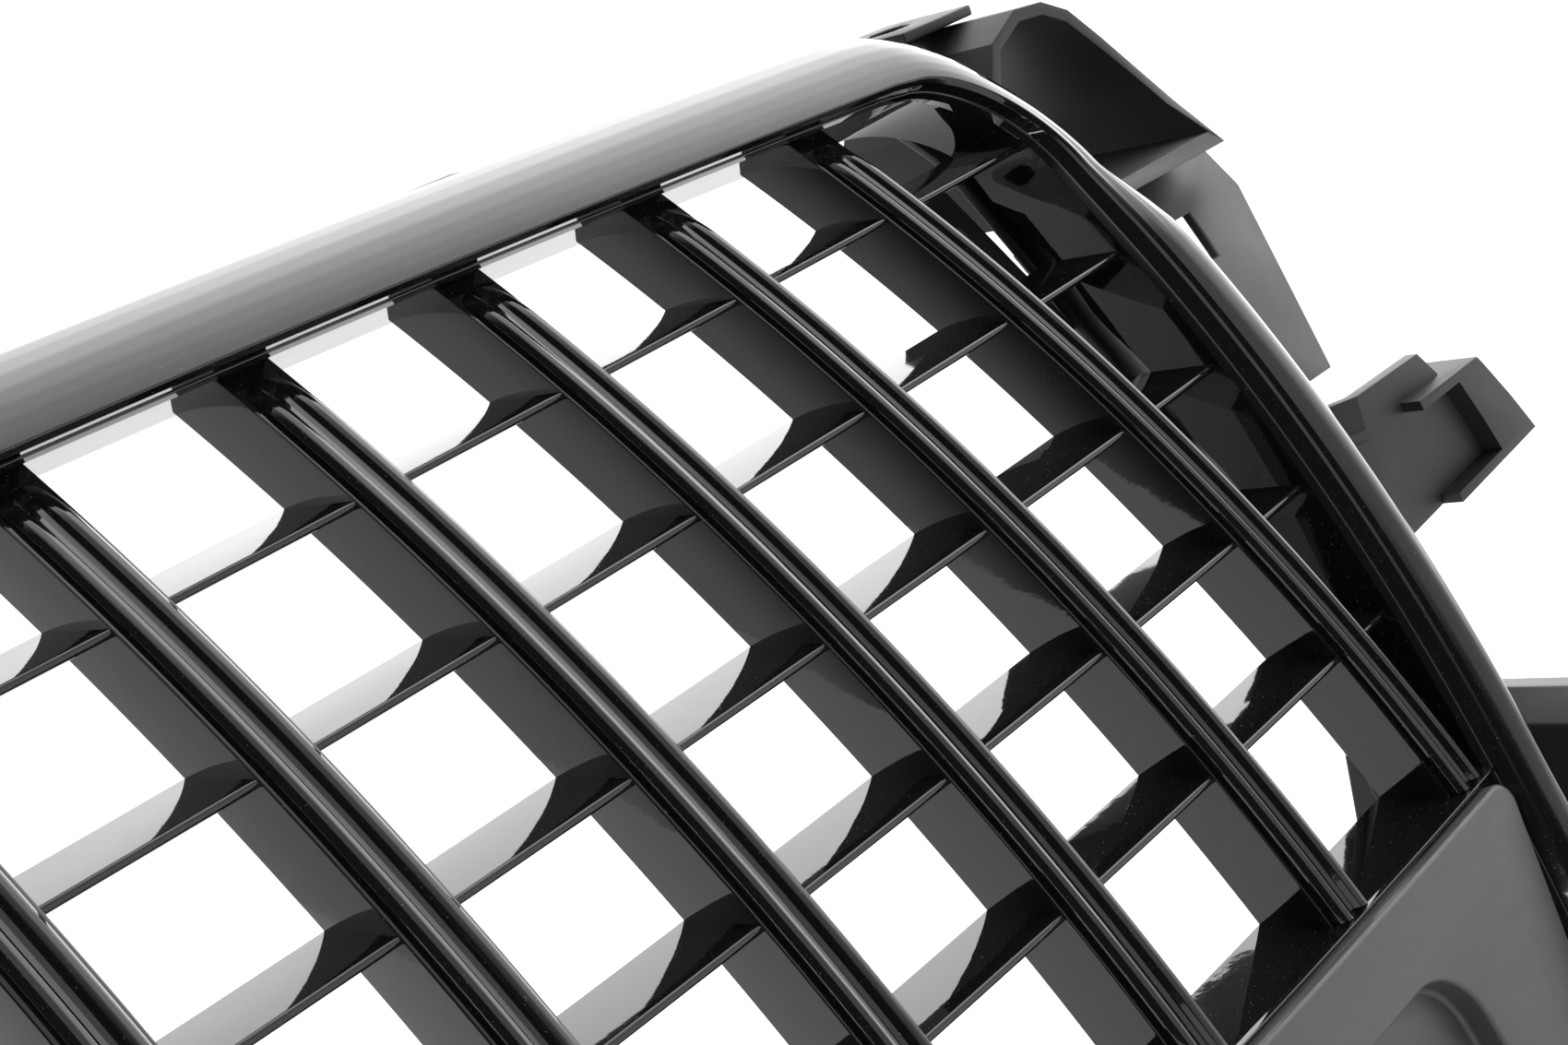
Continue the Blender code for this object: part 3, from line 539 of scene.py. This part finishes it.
def band(section, path, scaled=True):
    """Carry a section of (outwards, forwards) points round a path."""
    points, out = path
    x, z = points[:, 0], points[:, 1]
    scale = surround_scale(z) if scaled else np.ones(len(z))
    base = lip_y(x, z)
    across, forward = section[:, 0], section[:, 1]
    reach = across[None, :] * scale[:, None]
    return np.stack([
        x[:, None] + out[:, 0:1] * reach,
        base[:, None] - forward[None, :] * scale[:, None],
        z[:, None] + out[:, 1:2] * reach,
    ], 2)


def make_surround():
    path = lip_path()
    sections = [
        filleted([(*point, radius) for point, radius in zip(section, SECTION_RADII)])
        for section in (SIDE_SECTION, TOP_SECTION)
    ]
    low, high = SECTION_CHANGE
    share = smooth((path[0][:, 1] - low) / (high - low))[:, None, None]
    shell = Shell()
    shell.loft(band(sections[0], path) * (1 - share) + band(sections[1], path) * share, ring=True)
    shell.finish("surround", GLOSS, ["outer_surround"])


# ---------------------------------------------------------------- grid

def bar_loops(x, low, high, steps):
    """A bar, hollow from behind, between two heights."""
    half, wall, face = BAR_WIDTH / 2 / MM, BAR_WALL / MM, BAR_FACE / MM
    loops = []
    for z in np.linspace(low, high, steps):
        deep = float(grid_depth(z)) / MM
        outline = (
            (-half, deep, 0.0), (-half, 0.0, BAR_CORNER), (half, 0.0, BAR_CORNER),
            (half, deep, BAR_BACK_CORNER), (half - wall, deep, BAR_BACK_CORNER),
            (half - wall, face, BAR_FILLET), (wall - half, face, BAR_FILLET), (wall - half, deep, 0.0),
        )
        section = filleted(outline, 3)
        across = x + section[:, 0]
        y = front_y(across, z) + section[:, 1]
        loops.append(np.stack([across, y, np.full(len(across), z)], 1))
    return loops


def blade_loops(z, low_x, high_x, steps):
    """A thin blade with a rounded front edge, between two sides."""
    thick = BLADE_THICK / MM
    nose = thick * BLADE_NOSE_SHARE
    loops = []
    for x in np.linspace(low_x, high_x, steps):
        deep = float(grid_depth(z)) / MM
        outline = (
            (deep, 0.0, 0.0), (0.0, 0.0, nose), (0.0, -thick, nose), (deep, -thick - BLADE_DRAFT, 0.0),
        )
        section = filleted(outline, 4)
        y = front_y(x, z) + section[:, 0]
        loops.append(np.stack([np.full(len(y), x), y, z + section[:, 1]], 1))
    return loops


def wall_band(low_z):
    """The grid's own wall, inside the lip's line, from one side over the top to the other."""
    points, out = lip_path()
    inside = points[:, 1] > low_z
    order = np.argsort(np.where(points[inside][:, 0] < 0, -1, 1), kind="stable")
    points, out = points[inside][order], out[inside][order]
    x, z = points[:, 0], points[:, 1]
    upward = np.clip(out[:, 1], 0.0, 1.0) ** 2
    swing = 0.5 - 0.5 * np.cos(2 * math.pi * (z - ROW_PITCH / 2) / ROW_PITCH)
    wave = WALL_WAVE * swing * (1 - upward)
    front = lip_y(x, z) + WALL_START
    back = front_y(x, z) + grid_depth(z) - wave
    drop = TOP_WALL_DROP * upward
    loops = []
    for reach, y in ((0.0, front), (-drop, back), (WALL - drop, back), (WALL, front)):
        loops.append(np.stack([x + out[:, 0] * reach, y, z + out[:, 1] * reach], 1))
    return np.stack(loops, 1)


def make_upper_grid():
    shell = Shell()
    for x in bar_centres(BAR_COUNT):
        shell.loft(bar_loops(x, LEDGE_Z - ROOT_DEPTH, float(top_z(x)) - BAR_END_GAP, BAR_LEVELS))
    for n in range(ROW_COUNT):
        z = ((ROW_COUNT - 1) / 2 - n) * ROW_PITCH
        reach = float(side_x(z))
        shell.loft(blade_loops(z, -reach, reach, BLADE_STATIONS))
    shell.loft(wall_band(LEDGE_Z - ROOT_DEPTH))
    shell.loft(ledge_loops())
    shell.finish("grid", GLOSS, ["upper_grid"])


def ledge_loops():
    """The grid's lowest blade: its front rolls down in front of the bars."""
    loops = []
    reach = float(side_x(LEDGE_Z))
    section = filleted(LEDGE_OUTLINE, 7)
    for x in np.linspace(-reach, reach, LEDGE_STATIONS):
        y = front_y(x, LEDGE_Z) + section[:, 0]
        loops.append(np.stack([np.full(len(y), x), y, LEDGE_Z + section[:, 1]], 1))
    return loops


def make_lower_grid():
    shell = Shell()
    for x in bar_centres(LOWER_BAR_COUNT):
        shell.loft(bar_loops(x, BOTTOM_Z, LOWER_TOP_Z - LOWER_BAR_END_GAP, LOWER_BAR_LEVELS))
    for z in (LOWER_BLADE_Z, LOWER_TOP_Z):
        reach = float(side_x(z))
        shell.loft(blade_loops(z, -reach, reach, LOWER_BLADE_STATIONS))
    points, out = lip_path()
    low = points[:, 1] < LOWER_TOP_Z
    points, out = points[low], out[low]
    x, z = points[:, 0], points[:, 1]
    front = lip_y(x, z) + LOWER_WALL_START
    back = front_y(x, z) + grid_depth(z)
    loops = []
    for shift, y in ((0.0, front), (0.0, back), (WALL, back), (WALL, front)):
        loops.append(np.stack([x + out[:, 0] * shift, y, z + out[:, 1] * shift], 1))
    shell.loft(np.stack(loops, 1))
    shell.finish("lower_grid_fine", GLOSS, ["lower_grid"])


def trim_outline():
    mirrored = [(-across, proud, radius) for across, proud, radius in reversed(TRIM_PROFILE[:-1])]
    return filleted([*TRIM_PROFILE, *mirrored], 5)


def trim_loops(x, low, high, steps, curl):
    """A bar's trim. Its top end curls back, and its ridges run out there."""
    section = trim_outline()
    across, proud = section[:, 0], section[:, 1]
    crown = TRIM_CROWN * np.cos(across / TRIM_CROWN_HALF * math.pi / 2)
    smoothed = np.stack([across, np.where(proud > 0, crown, proud)], 1)
    loops = []
    share = 1.0 - (1.0 - np.linspace(0.0, 1.0, steps)) ** 1.5
    for z in low + (high - low) * share:
        near_end = smooth((z - (high - TRIM_RUN_OUT)) / TRIM_RUN_OUT) if curl else 0.0
        curled = max(0.0, (z - (high - TRIM_CURL_LENGTH)) / TRIM_CURL_LENGTH)
        bend = curled ** 2 * TRIM_CURL if curl else 0.0
        shape = section * (1 - near_end) + smoothed * near_end
        across = x + shape[:, 0]
        y = front_y(across, z) - shape[:, 1] + bend
        loops.append(np.stack([across, y, np.full(len(across), z)], 1))
    return loops


def make_trims():
    for number, x in enumerate(bar_centres(BAR_COUNT), start=1):
        shell = Shell()
        foot, top = LEDGE_Z + TRIM_FOOT_GAP, float(top_z(x)) - TRIM_TOP_GAP
        shell.loft(trim_loops(x, foot, top, TRIM_LEVELS, True))
        shell.finish(f"trim_{number:02d}", GLOSS, [f"bar_trim_{number:02d}"])
    foot, top = BOTTOM_Z + LOWER_TRIM_FOOT_GAP, LOWER_TOP_Z - LOWER_TRIM_TOP_GAP
    for number, x in enumerate(bar_centres(LOWER_BAR_COUNT), start=1):
        shell = Shell()
        shell.loft(trim_loops(x, foot, top, LOWER_TRIM_LEVELS, False))
        shell.finish(f"lower_trim_{number}", GLOSS, [f"lower_bar_trim_{number}"])


# ---------------------------------------------------------------- number-plate carrier

def plate_loop(half_top, half_low, top, low, radius, forward):
    """A rounded four-sided loop, bowed in plan, on the carrier's upright face."""
    arc_steps, inner_steps = 10, 60
    angles = np.linspace(0.0, math.pi / 2, arc_steps + 1)

    def edge(half, level, sign):
        x = half - radius + radius * np.cos(angles)
        down = level + sign * radius * (1 - np.sin(angles))
        middle = np.linspace(-(half - radius), half - radius, inner_steps)[1:-1]
        return np.concatenate([
            np.stack([-x, down], 1),
            np.stack([middle, np.full(len(middle), level)], 1),
            np.stack([x, down], 1)[::-1],
        ])

    loop = np.concatenate([edge(half_top, top, 1), edge(half_low, low, -1)[::-1]])
    x, down = loop[:, 0], loop[:, 1]
    cosine, sine = math.cos(BLADE_TILT), math.sin(BLADE_TILT)
    y = front_y(x, PLATE_TOP_Z) - PLATE_PROUD
    return np.stack([
        x, y - down * sine - forward * cosine, PLATE_TOP_Z - down * cosine + forward * sine,
    ], 1)


def make_plate_carrier():
    low_z = PLATE_TOP_Z - PLATE_HEIGHT * math.cos(BLADE_TILT)
    half_top = float(side_x(PLATE_TOP_Z)) - PLATE_SIDE_GAP
    half_low = float(side_x(low_z)) - PLATE_SIDE_GAP
    recess_low = RECESS_TOP + RECESS_HEIGHT

    def outer(inset, forward):
        return plate_loop(
            half_top - inset, half_low - inset, inset, PLATE_HEIGHT - inset,
            PLATE_CORNER - inset * INSET_CORNER_SHARE, forward,
        )

    def recess(grow, forward):
        return plate_loop(
            RECESS_HALF + grow, RECESS_HALF + grow, RECESS_TOP - grow, recess_low + grow,
            RECESS_CORNER + grow, forward,
        )

    loops = [
        recess(PLATE_SKIN, -RECESS_DEPTH - PLATE_SKIN), recess(PLATE_SKIN, -PLATE_SKIN),
        outer(PLATE_SKIN, -PLATE_SKIN), outer(PLATE_SKIN, -PLATE_FLANGE), outer(0.0, -PLATE_FLANGE),
    ]
    for a in ROUND_ANGLES:
        near, far = PLATE_EDGE_ROUND * (1 - math.cos(a)), PLATE_EDGE_ROUND * (1 - math.sin(a))
        loops.append(outer(near, -far))
    for a in ROUND_ANGLES:
        near, far = RECESS_EDGE_ROUND * (1 - math.cos(a)), RECESS_EDGE_ROUND * (1 - math.sin(a))
        loops.append(recess(far, -near))
    for a in ROUND_ANGLES:
        near, far = RECESS_FILLET * (1 - math.cos(a)), RECESS_FILLET * (1 - math.sin(a))
        loops.append(recess(-near, far - RECESS_DEPTH))
    shell = Shell()
    shell.loft(loops, strips=True)
    shell.finish("plate_carrier", SATIN, ["number_plate_carrier"], sharp=40)


# ---------------------------------------------------------------- pieces behind

def make_hardware():
    for side, _ in SIDES:
        for base, width in SIDE_PIECE_ROUNDS:
            softened(f"{base}_{side}", width, MATT)
        for level in ("upper", "lower"):
            softened(f"carrier_screw_{level}_{side}", SCREW_ROUND, STEEL)
    softened("rear_carrier", CARRIER_ROUND, MATT)
    for n in range(1, 5):
        softened(f"top_fixing_tab_{n}", TAB_ROUND, MATT)
        softened(f"plate_screw_{n}", SCREW_ROUND, STEEL)
    for n in range(1, 4):
        softened(f"spring_clip_{n}", CLIP_ROUND, STEEL)


make_surround()
make_upper_grid()
make_lower_grid()
make_trims()
make_plate_carrier()
make_hardware()


# ---------------------------------------------------------------- floor, light and camera

def make_floor():
    level = CAD_BOX[0].z - FLOOR_GAP
    corners = ((-1, -1), (1, -1), (1, 1), (-1, 1))
    mesh = bpy.data.meshes.new("floor")
    mesh.from_pydata([(x * FLOOR_HALF, y * FLOOR_HALF, level) for x, y in corners], [], [(0, 1, 2, 3)])
    n = Nodes("floor")
    n.link(n.blend(n.noise(3.0), (0.93, 0.93, 0.93), (0.97, 0.97, 0.97)), n.shader.inputs["Base Color"])
    n.shader.inputs["Roughness"].default_value = 0.9
    mesh.materials.append(n.material)
    floor = bpy.data.objects.new("floor", mesh)
    bpy.context.scene.collection.objects.link(floor)


def make_world():
    """White surroundings, brighter above and to the right, with a dark card to the front left.

    Each term spreads between two cosines of the angle to its direction.
    """
    world = bpy.data.worlds.new("studio")
    world.use_nodes = True
    tree = world.node_tree
    look = tree.nodes.new("ShaderNodeTexCoord").outputs["Generated"]

    def along(direction, low, high, out_low, out_high):
        dot = tree.nodes.new("ShaderNodeVectorMath")
        dot.operation = "DOT_PRODUCT"
        dot.inputs[1].default_value = Vector(direction).normalized()
        tree.links.new(look, dot.inputs[0])
        spread = tree.nodes.new("ShaderNodeMapRange")
        spread.interpolation_type = "SMOOTHSTEP"
        for key, value in (
            ("From Min", low), ("From Max", high), ("To Min", out_low), ("To Max", out_high),
        ):
            spread.inputs[key].default_value = value
        tree.links.new(dot.outputs["Value"], spread.inputs["Value"])
        return spread.outputs["Result"]

    def join(operation, a, b):
        node = tree.nodes.new("ShaderNodeMath")
        node.operation = operation
        tree.links.new(a, node.inputs[0])
        tree.links.new(b, node.inputs[1])
        return node.outputs[0]

    glow = join("ADD", along(GLOW_FROM, 0.58, 0.80, 1.05, 2.7), along(GLOW_FROM, 0.80, 1.0, 0.0, 0.8))
    glow = join("ADD", glow, along(SIDE_GLOW_FROM, 0.86, 0.98, 0.0, 1.0))
    card = along(CARD_FROM, 0.32, 0.62, 1.0, 0.06)
    tree.nodes["Background"].inputs["Color"].default_value = ROOM_COLOUR
    tree.links.new(join("MULTIPLY", glow, card), tree.nodes["Background"].inputs["Strength"])
    bpy.context.scene.world = world


def make_strip_light():
    """A narrow light at the left, which draws thin lines along the edges that face it."""
    data = bpy.data.lights.new("strip_left", "AREA")
    data.shape = "RECTANGLE"
    data.size, data.size_y = STRIP_SIZE
    data.energy = STRIP_POWER
    data.color = STRIP_COLOUR
    light = bpy.data.objects.new("strip_left", data)
    light.location = STRIP_PLACE
    towards = Vector(STRIP_AIM) - Vector(STRIP_PLACE)
    light.rotation_euler = towards.to_track_quat("-Z", "Y").to_euler()
    bpy.context.scene.collection.objects.link(light)


def make_camera():
    data = bpy.data.cameras.new("camera")
    data.lens = CAMERA_LENS
    data.sensor_width = CAMERA_SENSOR
    data.clip_start = CAMERA_NEAR
    camera = bpy.data.objects.new("camera", data)
    camera.location = CAMERA_PLACE
    camera.rotation_euler = [math.radians(a) for a in CAMERA_TURN]
    bpy.context.scene.collection.objects.link(camera)
    bpy.context.scene.camera = camera


make_floor()
make_world()
make_strip_light()
make_camera()

bpy.context.scene.view_settings.view_transform = "Standard"
